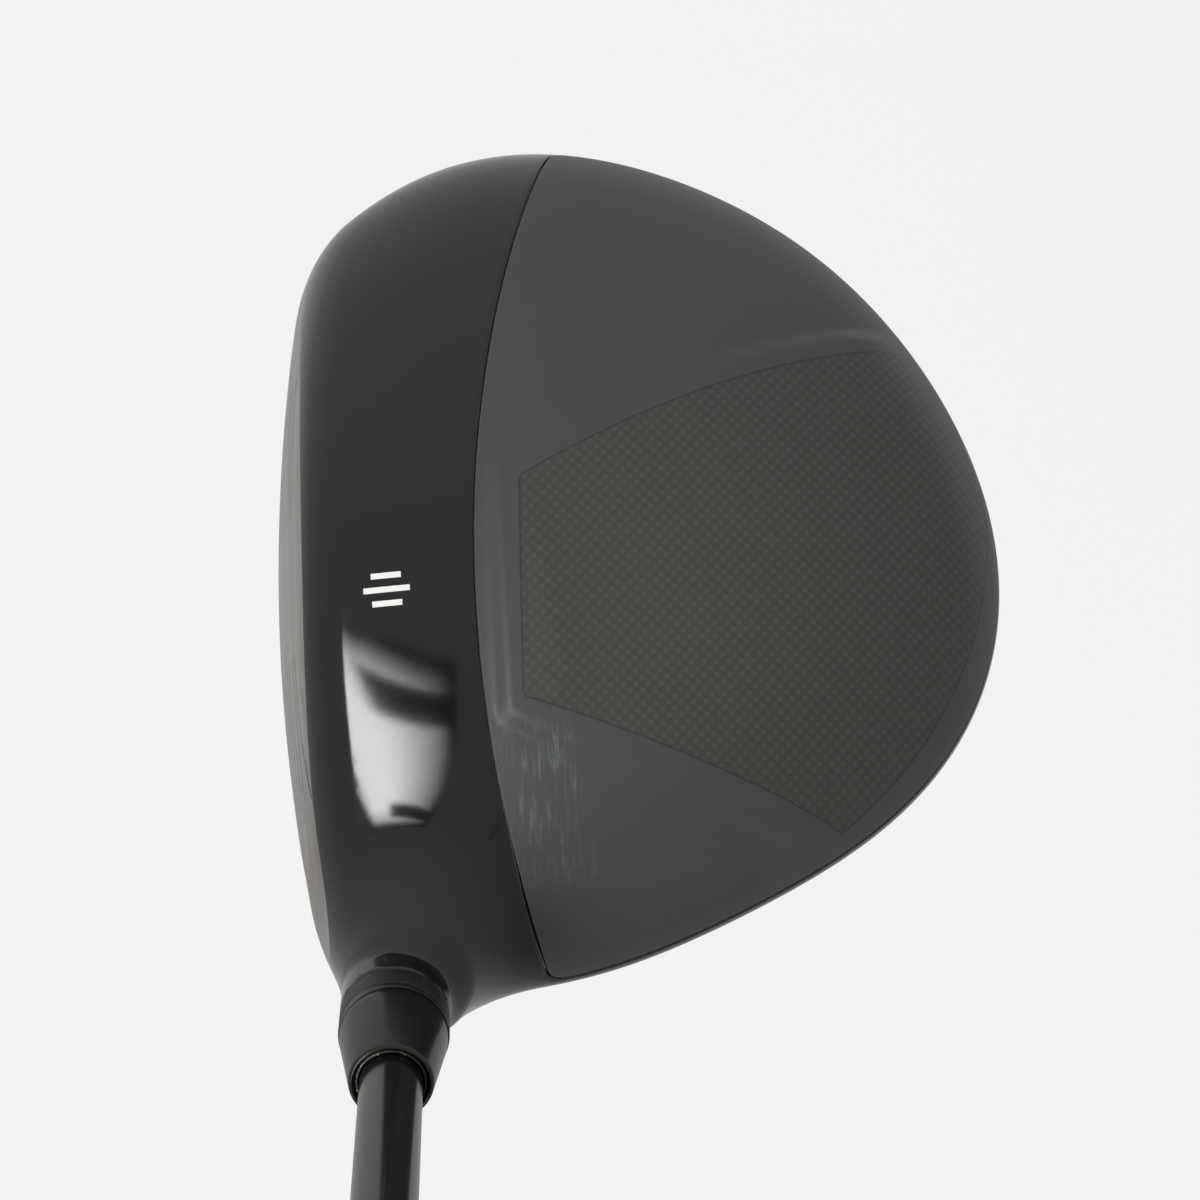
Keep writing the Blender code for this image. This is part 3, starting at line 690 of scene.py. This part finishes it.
def matte_carbon():
    """Crown: satin grey paint round a window where the woven carbon shows through a thin coat, with the
    weave's crossings painted lighter as highlights.
    """
    look = Look("matte_crown")
    x, y, _ = look.split()
    grain = look.noise(5200.0, 2.0)
    blotch = look.noise(30.0, 4.0)
    paint = look.mix(look.range(blotch, 0.3, 0.7), (0.058, 0.0595, 0.059), (0.066, 0.0675, 0.067))
    bare = look.mix(look.range(blotch, 0.3, 0.7), (0.048, 0.0475, 0.0445), (0.055, 0.0545, 0.051))

    def line(a, b, c, bend=0.0):
        """Signed distance from a line in plan, bent with the square of x."""
        straight = look.math("MULTIPLY_ADD", x, a, look.math("MULTIPLY_ADD", y, b, c * MM))
        return look.math("MULTIPLY_ADD", look.product(x, x), bend, straight)

    edges = [line(1.0, -0.04, 7.0), line(0.43, -0.9, 5.6, -2.5), line(0.36, 0.93, 29.6, 1.6)]
    inside = edges[0]
    for edge in edges[1:]:
        inside = look.math("SMOOTH_MIN", inside, edge, 0.0012)
    from_centre = look.math("SUBTRACT", x, WINDOW_CENTRE_X)
    away = look.math("SQRT", look.math("ADD", look.product(from_centre, from_centre), look.product(y, y)))
    outline = look.math("SUBTRACT", away, WINDOW_RADIUS)
    inside = look.math("MINIMUM", inside, look.product(outline, -1.0))
    window = look.range(inside, -0.00008, 0.00008)
    edge_line = look.range(look.math("ABSOLUTE", inside), 0.00022, 0.00008)

    weave = look.weave()
    # Painted highlight: the colour is lighter at each crossing of the weave, streaked by the fibres.
    knot_highlight = look.range(weave, -0.1, 0.8)
    knot_highlight_and_fibres = look.product(knot_highlight, look.range(look.fibres(), 0.3, 0.7, 0.7, 1.0))
    cloth = look.mix(knot_highlight_and_fibres, bare, (0.076, 0.073, 0.066))
    colour = look.mix(window, paint, cloth)
    colour = look.mix(look.product(edge_line, 0.5), colour, (0.015, 0.015, 0.015))

    # Wear behind the seam at the heel
    streaks = look.streaks((1500.0, 130.0, 300.0), 8.0, 6.0, 0.7)
    patch = look.noise(70.0, 5.0, 0.6)
    across = look.distance(look.math("MULTIPLY_ADD", y, 0.14, x), -0.0118)
    along = look.distance(y, -0.0435)
    near = look.product(look.range(across, 0.0072, 0.0030), look.range(along, 0.0125, 0.0085))
    worn = look.product(look.range(streaks, 0.50, 0.72), look.range(patch, 0.40, 0.60))
    scuff = look.product(near, worn)
    colour = look.mix(look.product(scuff, 0.75), colour, (0.17, 0.19, 0.21))

    rough = look.math("ADD", look.range(grain, 0.3, 0.7, 0.40, 0.48), look.product(scuff, 0.15))
    relief = look.math("ADD", look.product(weave, window, 0.00002), look.product(grain, 0.000004))
    return look.finish(Base_Color=colour, Roughness=rough, Normal=look.bump(relief, 1.0, 0.6),
                       Specular_IOR_Level=0.28)


def sole_carbon():
    """Sole panels: the same weave under a clear satin coat, with its crossings painted lighter as
    highlights.
    """
    look = Look("satin_carbon_sole")
    weave = look.weave()
    # Painted highlight: lighter colour on each crossing of the weave, streaked by the fibres.
    knot_highlight_and_fibres = look.product(look.range(weave, -0.3, 0.9), look.range(look.fibres(), 0.3, 0.7, 0.6, 1.0))
    colour = look.mix(knot_highlight_and_fibres, (0.012, 0.012, 0.012), (0.06, 0.058, 0.054))
    scratches = look.streaks((60.0, 1800.0, 300.0), 12.0, 5.0, 0.7)
    rough = look.range(scratches, 0.35, 0.8, 0.24, 0.5)
    return look.finish(Base_Color=colour, Roughness=rough, Coat_Weight=0.3, Coat_Roughness=0.15,
                       Normal=look.bump(weave, 0.00003, 0.5))


def satin_metal(name, colour, dark, roughness, metallic=1.0):
    """Machined or plated metal with fine grain and dulled patches."""
    look = Look(name)
    grain = look.noise(METAL_GRAIN * 6, 3.0)
    patches = look.noise(METAL_GRAIN / 6, 4.0)
    tone = look.mix(look.range(patches, 0.35, 0.7), colour, dark)
    rough = look.range(patches, 0.3, 0.75, roughness * 0.8, roughness * 1.35)
    return look.finish(Base_Color=tone, Roughness=rough, Metallic=metallic,
                       Normal=look.bump(grain, 0.00002, 0.3))


def speckled_ring():
    """Matte anodised ring with pale dust caught in its grain."""
    look = Look("speckled_anodised")
    grain = look.noise(2600.0, 4.0, 0.7)
    specks = look.range(look.cells(1500.0), 0.16, 0.06)
    rare = look.range(look.noise(700.0, 2.0), 0.52, 0.62)
    colour = look.mix(look.range(grain, 0.35, 0.7), (0.013, 0.013, 0.0125), (0.034, 0.032, 0.029))
    colour = look.mix(look.product(specks, rare, 0.7), colour, (0.16, 0.14, 0.11))
    rough = look.range(grain, 0.3, 0.7, 0.42, 0.6)
    return look.finish(Base_Color=colour, Roughness=rough, Metallic=0.3,
                       Normal=look.bump(grain, 0.00004, 0.6))


def satin_plastic(name, colour, roughness, scale=600.0, bump=0.2):
    """Plastic, rubber or glue with fine grain and paler worn patches."""
    look = Look(name)
    grain = look.noise(scale * 5, 3.0)
    wear = look.noise(scale / 8, 5.0)
    tone = look.mix(look.range(wear, 0.4, 0.75), colour, tuple(c * 1.5 + 0.003 for c in colour))
    rough = look.range(wear, 0.3, 0.7, roughness * 0.85, roughness * 1.2)
    return look.finish(Base_Color=tone, Roughness=rough, Normal=look.bump(grain, 0.00002, bump))


def flecked_epoxy():
    """Dark cured glue with gold-coloured flecks on its rough top."""
    look = Look("flecked_epoxy")
    rare = look.range(look.noise(900.0, 2.0), 0.50, 0.60)
    flecks = look.product(look.range(look.cells(1300.0), 0.35, 0.15), rare)
    colour = look.mix(flecks, (0.012, 0.011, 0.009), (0.42, 0.30, 0.09))
    return look.finish(Base_Color=colour, Roughness=0.35, Normal=look.bump(look.noise(1500.0), 0.0002, 0.8))


def shaft_lacquer():
    """Dark lacquered shaft: fine level lines and soft clouds in its gloss."""
    look = Look("shaft_lacquer")
    lean = math.pi / 2 - LIE
    rings = look.noise(1.0, 4.0, 0.6, look.scaled((60.0, 60.0, 3000.0), (-lean, 0.0, 0.0)))
    blur = look.noise(25.0, 4.0, 0.5, look.scaled((1.0, 1.0, 1.0), (lean, 0.0, 0.0)))
    colour = look.mix(look.range(blur, 0.3, 0.7), (0.0075, 0.008, 0.008), (0.012, 0.0125, 0.012))
    rough = look.math("ADD", look.range(rings, 0.3, 0.7, 0.16, 0.22),
                      look.range(blur, 0.4, 0.8, 0.0, 0.06))
    return look.finish(Base_Color=colour, Roughness=rough, Specular_IOR_Level=0.75,
                       Normal=look.bump(rings, 0.000008, 0.4))


def grip_rubber():
    """Grip: moulded diamonds cut into fine-grained rubber, with painted shade in the cuts."""
    look = Look("grip_rubber_pattern")
    local = look.add("ShaderNodeMapping", {"vector_type": "TEXTURE"}, Vector=look.place,
                     Location=tuple(HOSEL_FOOT * MM), Rotation=(math.pi / 2 - LIE, 0.0, 0.0)).outputs[0]
    x, y, height = look.add("ShaderNodeSeparateXYZ", Vector=local).outputs
    turn = look.math("ARCTAN2", y, x)
    rise = look.product(height, 2 * math.pi / DIAMOND_HEIGHT)
    spirals = []
    for count in (DIAMONDS_ROUND, -DIAMONDS_ROUND):
        wave = look.math("SINE", look.math("MULTIPLY_ADD", turn, count, rise))
        spirals.append(look.math("ABSOLUTE", wave))
    cuts = look.math("MINIMUM", *spirals)
    cuts = look.range(cuts, 0.06, 0.22)
    grain = look.noise(3200.0, 3.0)
    relief = look.math("ADD", look.product(cuts, 0.0004), look.product(grain, 0.00004))
    shine = look.noise(18.0, 4.0)
    colour = look.mix(look.range(shine, 0.35, 0.75), (0.012, 0.012, 0.0125), (0.022, 0.022, 0.022))
    # Painted shade: the cut grooves are darkened towards black.
    colour = look.mix(look.range(cuts, 0.0, 1.0, 0.6, 0.0), colour, (0.004, 0.004, 0.004))
    return look.finish(Base_Color=colour, Roughness=look.range(shine, 0.3, 0.7, 0.62, 0.85),
                       Normal=look.bump(relief, 1.0, 0.9))


def white_paint():
    look = Look("white_mark_paint")
    grain = look.noise(2500.0, 3.0)
    tone = look.mix(grain, (0.80, 0.80, 0.78), (0.88, 0.88, 0.86))
    return look.finish(Base_Color=tone, Roughness=0.35, Normal=look.bump(grain, 0.00001, 0.4))


# ---------------------------------------------------------------- the club's pieces


def place(thing, body, slot, material, *nodes):
    """Give a piece its material and its body, and hide the CAD nodes that it stands for; its slot is not
    used.
    """
    thing.data.materials.clear()
    thing.data.materials.append(material)
    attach(thing, body)
    if nodes:
        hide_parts(*nodes)
    return thing


def make_head(looks):
    points, triangles, middles = head_surface()
    crown = crown_side(middles)
    front = face_side(middles)
    soles = {side: sole_side(middles, sign) for side, sign in (("toe", 1), ("heel", -1))}
    solid = (rim_side(middles) > 0) & (screw_side(middles) > 0)
    for name in PORTS:
        solid &= port_side(middles, name) > 0
    body = solid & (crown < -SEAM) & (front < 0)
    for inside in soles.values():
        body &= inside < -SEAM
    place(shell("head_casting", points, triangles, body),
          "head", "painted_titanium", looks["gloss"], "head_body")
    place(shell("titanium_face", points, triangles, solid & (front > 0)),
          "head", "brushed_titanium", looks["face"], "face_plate")
    place(shell("carbon_crown", points, triangles, crown > SEAM),
          "head", "matte_carbon", looks["crown"], "crown_panel")
    for side, inside in soles.items():
        place(shell(side + "_carbon_sole", points, triangles, inside > SEAM),
              "head", "matte_carbon", looks["sole"], side + "_sole_panel")
    ledges = {"crown": crown, "toe_sole": soles["toe"], "heel_sole": soles["heel"]}
    for name, inside in ledges.items():
        under = solid & (np.abs(inside - LEDGE_MIDDLE) < LEDGE_HALF)
        place(shell(name + "_bonding_ledge", points, triangles, under, SHELL + LEDGE_GAP),
              "head", "painted_titanium", looks["machined"])


def on_crown(x, y, rounds=24):
    """Points of the head's top above plan places."""
    low, high = (np.full(len(x), height) for height in CROWN_SEARCH)
    for _ in range(rounds):
        middle = (low + high) / 2
        inside = head_field(np.stack([x, y, middle], -1)) < 0
        low, high = np.where(inside, middle, low), np.where(inside, high, middle)
    return np.stack([x, y, high], -1)


def make_mark(looks):
    """Generic alignment aid: three short parallel bars, the middle one longer."""
    for number, (y, half) in enumerate(MARK_BARS):
        along = np.linspace(MARK_X - half, MARK_X + half, 15)
        across = np.linspace(y - MARK_HALF_WIDTH, y + MARK_HALF_WIDTH, 4)
        grid_x, grid_y = np.meshgrid(along, across, indexing="ij")
        foot = on_crown(grid_x.ravel(), grid_y.ravel())
        normal = unit(gradient(head_field, foot, FINE_STEP))
        top, bottom = foot + MARK_RISE * normal, foot - MARK_SINK * normal
        count = grid_x.size
        index = np.arange(count).reshape(grid_x.shape)
        quads = np.stack([index[:-1, :-1], index[1:, :-1], index[1:, 1:], index[:-1, 1:]], -1).reshape(-1, 4)
        faces = np.stack([quads, quads[:, ::-1] + count], 1).reshape(-1, 4).tolist()
        edge = np.concatenate([index[:, 0], index[-1, 1:], index[-2::-1, -1], index[0, -2:0:-1]]).tolist()
        for a, b in zip(edge, edge[1:] + edge[:1]):
            faces.append([b, a, a + count, b + count])
        bar = add_mesh(f"alignment_bar_{number + 1}", np.concatenate([top, bottom]), faces)
        bar.data.set_sharp_from_angle(angle=math.radians(MARK_SHARP))
        place(bar, "head", "painted_titanium", looks["white"])


def make_hosel_side(looks):
    """Turned pieces on the hosel's axis, by (radius, height)."""
    def ring(name, *profile, **more):
        return turned(name, list(profile), HOSEL, **more)

    place(ring("bonded_hosel_tube", (5.0, 30.5), (6.5, 30.5), (6.5, 64.7), (5.35, 64.7), (5.35, 40.0),
               (2.75, 40.0), (2.75, 37.0), (5.0, 37.0)),
          "head", "machined_titanium", looks["machined"], "hosel_tube")
    place(ring("flat_screw_washer", (2.75, 35.8), (4.4, 35.8), (4.4, 36.7), (2.75, 36.7)),
          "head", "screw_steel", looks["screw"], "screw_washer")
    place(ring("hosel_bolt", (0, 33.8), (2.4, 33.8), (2.4, 31.0), (3.9, 31.0), (3.9, 35.5), (2.4, 35.5),
               (2.4, 52.0), (0, 52.0), six_sided=[(30.9, 33.9, 2.5)]),
          "hosel_screw", "screw_steel", looks["screw"], "hosel_screw")
    place(ring("indexing_ring", (5.35, 65.3), (7.8, 65.3), (7.8, 69.4), (5.35, 69.4), round_off=0.2),
          "loft_ring", "anodised_aluminium", looks["ring"], "loft_ring")
    place(ring("tip_sleeve", (2.9, 42.0), (5.0, 42.0), (5.0, 69.7), (7.8, 69.7), (7.8, 70.6), (4.65, 70.6),
               (4.65, 54.0), (2.9, 54.0)),
          "shaft", "anodised_aluminium", looks["sleeve"], "shaft_sleeve")
    place(ring("tapered_ferrule", (4.65, 70.9), (7.6, 70.9), (7.55, 72.0), (5.85, 84.0), (5.4, 84.4),
               (5.1, 84.1), (5.05, 83.0), (4.65, 83.0), round_off=0.3, sides=128),
          "shaft", "ferrule_plastic", looks["ferrule"], "ferrule")
    place(ring("glue_fillet", (4.6, 83.2), (5.0, 83.2), (4.95, 83.9), (4.6, 84.1), round_off=0.1),
          "shaft", "epoxy", looks["epoxy"], "ferrule_epoxy")


def make_shaft(looks):
    heights = [54.6] + list(np.linspace(90.0, CLUB_LENGTH - 3.0, 30))
    outside = [(shaft_radius(height), height) for height in heights]
    inside = [(radius - SHAFT_WALL, height) for radius, height in reversed(outside)]
    place(turned("tapered_shaft", outside + inside, HOSEL, round_off=0.1),
          "shaft", "shaft_carbon", looks["shaft"], "shaft")
    mouth, cap, end = CLUB_LENGTH - GRIP_LENGTH, CLUB_LENGTH - CAP_LENGTH, CLUB_LENGTH
    outer = [(9.3, mouth), (9.9, mouth + 3.0), (GRIP_MOUTH, mouth + 9.0)]
    for height in np.linspace(mouth + 10.0, cap - 30.0, 24):
        share = (height - mouth - 10.0) / (cap - mouth - 40.0)
        outer.append((GRIP_MOUTH + GRIP_SWELL * share, height))
    outer += [(13.2, cap - 20.0), (GRIP_BUTT, cap - 12.0), (GRIP_BUTT, cap - 6.0), (12.9, cap - 5.2),
              (12.9, cap - 4.4), (GRIP_BUTT, cap - 3.6), (GRIP_BUTT, cap)]
    inner = [(shaft_radius(cap) + GRIP_GAP, cap), (shaft_radius(mouth) + GRIP_GAP, mouth)]
    place(turned("rubber_grip", outer + inner, HOSEL, sides=128, round_off=0.3),
          "shaft", "grip_rubber", looks["grip"], "grip")
    lip = shaft_radius(end) + GRIP_GAP
    place(turned("butt_cap", [(lip, cap + 0.3), (GRIP_BUTT, cap + 0.3), (GRIP_BUTT, end - 1.2),
                              (12.2, end), (6.0, end), (5.6, end - 0.4), (1.8, end - 0.4),
                              (1.4, end - 0.8), (1.4, end - 2.7), (lip, end - 2.7)],
                 HOSEL, sides=128, round_off=0.3),
          "shaft", "grip_rubber", looks["cap"], "grip_cap")


def make_ports(looks):
    for name in PORTS:
        mouth, inward = port_axis(name)
        at = axis_matrix(mouth, inward)
        place(turned(name + "_port_insert", [(6.6, 1.2), (7.0, 0.9), (8.0, 0.9), (8.0, 15.0), (2.7, 15.0),
                                             (2.7, 8.2), (6.6, 8.2)], at),
              "head", "port_aluminium", looks["port"], name + "_weight_port")
        place(turned(name + "_seal", [(3.2, 6.9), (4.1, 6.7), (5.0, 6.9), (5.2, 7.3), (5.0, 7.7), (4.1, 7.9),
                                      (3.2, 7.7), (3.0, 7.3)], at, sides=64),
              name + "_o_ring", "seal_rubber", looks["rubber"], name + "_o_ring")
        place(turned(name + "_sole_weight", [(0, 4.2), (2.4, 4.2), (2.4, 1.6), (3.4, 1.4), (3.6, 1.75),
                                             (4.8, 1.75), (5.0, 1.4), (6.3, 1.4), (6.3, 6.4), (2.3, 6.4),
                                             (2.3, 15.0), (0, 15.0)], at, six_sided=[(1.3, 4.3, 2.5)]),
              name + "_weight", "weight_steel", looks["weight"], name + "_weight")


def repaint(looks):
    """Give the CAD nodes that stay in view their own materials."""
    for name, look in (("front_sound_rib", "machined"), ("rear_sound_rib", "machined"),
                       ("damping_pad", "glue"), ("shaft_tip_plug", "brass"), ("grip_tape", "tape")):
        thing = frame["nodes"][name]
        thing.data.materials.clear()
        thing.data.materials.append(looks[look])


# ---------------------------------------------------------------- studio


def add_plane(name, left, right, low, high, height):
    """Flat rectangle, in metres."""
    data = bpy.data.meshes.new(name)
    corners = [(left, low, height), (right, low, height), (right, high, height), (left, high, height)]
    data.from_pydata(corners, [], [(0, 1, 2, 3)])
    return add_object(name, data)


def aimed(right, up, back, place):
    matrix = Matrix((right, up, back)).transposed().to_4x4()
    matrix.translation = place
    return matrix


def make_softbox():
    """Large soft lamp above the face: fades to one side, with a dark bar across it."""
    away = Vector(SOFTBOX_AWAY).normalized()
    across = (Vector((1, 0, 0)) - away.x * away).normalized()
    along = away.cross(across)
    thing = add_plane("softbox", -SOFTBOX_HALF_WIDTH, SOFTBOX_HALF_WIDTH, SOFTBOX_LOW, SOFTBOX_HIGH, 0.0)
    thing.matrix_world = aimed(across, along, away, SOFTBOX_DISTANCE * away)
    look = Look("softbox_cloth")
    x, y, _ = look.split()
    fade = look.range(x, SOFTBOX_FADE[1], SOFTBOX_FADE[0])
    soft_edges = (look.range(x, -0.22, -0.17), look.range(y, -0.56, -0.48), look.range(y, 0.27, 0.20))
    beside_bar = look.range(look.distance(y, 0.13), 0.050, 0.062)
    bar = look.math("MAXIMUM", beside_bar, look.range(x, -0.03, -0.05))
    dim_top = look.range(y, 0.10, 0.22, 1.0, 0.5)
    strength = look.product(fade, *soft_edges, bar, dim_top, SOFTBOX_POWER)
    lamp = look.add("ShaderNodeEmission", Color=(1.0, 0.995, 0.985, 1.0), Strength=strength)
    look.show(lamp)
    thing.data.materials.append(look.material)
    thing.visible_camera = False


def make_world():
    """Soft room light: brighter beyond the toe, dimmer towards the heel and below."""
    world = bpy.data.worlds.new("studio")
    bpy.context.scene.world = world
    world.use_nodes = True
    tree = world.node_tree
    background = tree.nodes["Background"]
    parts = tree.nodes.new("ShaderNodeSeparateXYZ")
    tree.links.new(tree.nodes.new("ShaderNodeTexCoord").outputs["Generated"], parts.inputs[0])
    levels = []
    for axis, limits in (("Y", (-0.8, 0.9, 0.30, 0.76)), ("Z", (-0.3, 0.35, 0.95, 1.0))):
        level = tree.nodes.new("ShaderNodeMapRange")
        tree.links.new(parts.outputs[axis], level.inputs["Value"])
        for name, value in zip(("From Min", "From Max", "To Min", "To Max"), limits):
            level.inputs[name].default_value = value
        levels.append(level.outputs[0])
    strength = tree.nodes.new("ShaderNodeMath")
    strength.operation = "MULTIPLY"
    for socket, level in zip(strength.inputs, levels):
        tree.links.new(level, socket)
    tree.links.new(strength.outputs[0], background.inputs["Strength"])
    background.inputs["Color"].default_value = (1.0, 1.0, 0.995, 1.0)


def make_floor():
    """Pale floor below the held club; seen from underneath it lets the view through."""
    thing = add_plane("floor", -FLOOR_HALF, FLOOR_HALF, -FLOOR_HALF, FLOOR_HALF, FLOOR_HEIGHT)
    look = Look("pale_floor")
    shade = look.noise(3.0, 2.0)
    look.finish(Base_Color=look.mix(shade, (0.10, 0.10, 0.10), (0.11, 0.11, 0.11)), Roughness=1.0,
                Specular_IOR_Level=0.0, Emission_Color=(1.0, 1.0, 0.993), Emission_Strength=0.80)
    under = look.add("ShaderNodeNewGeometry").outputs["Backfacing"]
    clear = look.add("ShaderNodeBsdfTransparent").outputs[0]
    blend = look.add("ShaderNodeMixShader")
    for socket, source in zip(blend.inputs, (under, look.shader.outputs[0], clear)):
        look.tree.links.new(source, socket)
    look.show(blend)
    thing.data.materials.append(look.material)
    thing.visible_glossy = thing.visible_diffuse = False


def make_camera():
    """Straight down on the head, as a golfer at address sees it, slightly tilted and rolled."""
    tilt, side, roll = (math.radians(value) for value in (CAMERA_TILT, CAMERA_SIDE, CAMERA_ROLL))
    back = Vector((-math.sin(side), -math.sin(tilt) * math.cos(side), math.cos(tilt) * math.cos(side)))
    right = Vector((0, 1, 0)).cross(back).normalized()
    up = back.cross(right)
    turned_right = right * math.cos(roll) - up * math.sin(roll)
    turned_up = right * math.sin(roll) + up * math.cos(roll)
    data = bpy.data.cameras.new("camera")
    data.lens, data.sensor_width = LENS, SENSOR
    data.clip_start, data.clip_end = CLIP
    camera = add_object("camera", data)
    camera.matrix_world = aimed(turned_right, turned_up, back, Vector(CAMERA_PLACE) * MM)
    bpy.context.scene.camera = camera


def make_studio():
    make_world()
    make_floor()
    make_camera()
    make_softbox()
    view = bpy.context.scene.view_settings
    view.view_transform, view.look = "Standard", "None"


def main():
    # Metals: name, colour, darker colour, roughness, how metallic. Plastics: name, colour,
    # roughness, grain, height of the grain.
    looks = {
        "gloss": gloss_paint(), "face": brushed_titanium(), "crown": matte_carbon(), "sole": sole_carbon(),
        "white": white_paint(), "ring": speckled_ring(), "epoxy": flecked_epoxy(), "shaft": shaft_lacquer(),
        "grip": grip_rubber(),
        "machined": satin_metal("machined_grey_titanium", (0.36, 0.35, 0.34), (0.25, 0.24, 0.23), 0.32),
        "screw": satin_metal("black_oxide_steel", (0.10, 0.10, 0.105), (0.05, 0.05, 0.05), 0.38),
        "weight": satin_metal("satin_weight_steel", (0.50, 0.50, 0.51), (0.38, 0.37, 0.36), 0.3),
        "port": satin_metal("dark_anodised_port", (0.06, 0.06, 0.065), (0.035, 0.035, 0.035), 0.36, 0.8),
        "sleeve": satin_metal("dark_anodised_sleeve", (0.05, 0.05, 0.05), (0.03, 0.03, 0.03), 0.4, 0.7),
        "ferrule": satin_plastic("satin_black_ferrule", (0.004, 0.004, 0.004), 0.24),
        "rubber": satin_plastic("seal_black_rubber", (0.012, 0.012, 0.012), 0.6, bump=0.5),
        "cap": satin_plastic("cap_black_rubber", (0.014, 0.014, 0.014), 0.7, bump=0.6),
        "glue": satin_plastic("amber_hot_melt", (0.42, 0.32, 0.16), 0.35, 300.0, 0.6),
        "tape": satin_plastic("tan_grip_tape", (0.5, 0.42, 0.28), 0.75, 900.0, 0.8),
        "brass": satin_metal("dull_brass", (0.52, 0.38, 0.14), (0.36, 0.26, 0.10), 0.34),
    }
    make_head(looks)
    make_mark(looks)
    make_hosel_side(looks)
    make_shaft(looks)
    make_ports(looks)
    repaint(looks)
    make_studio()


main()
bpy.context.view_layer.update()
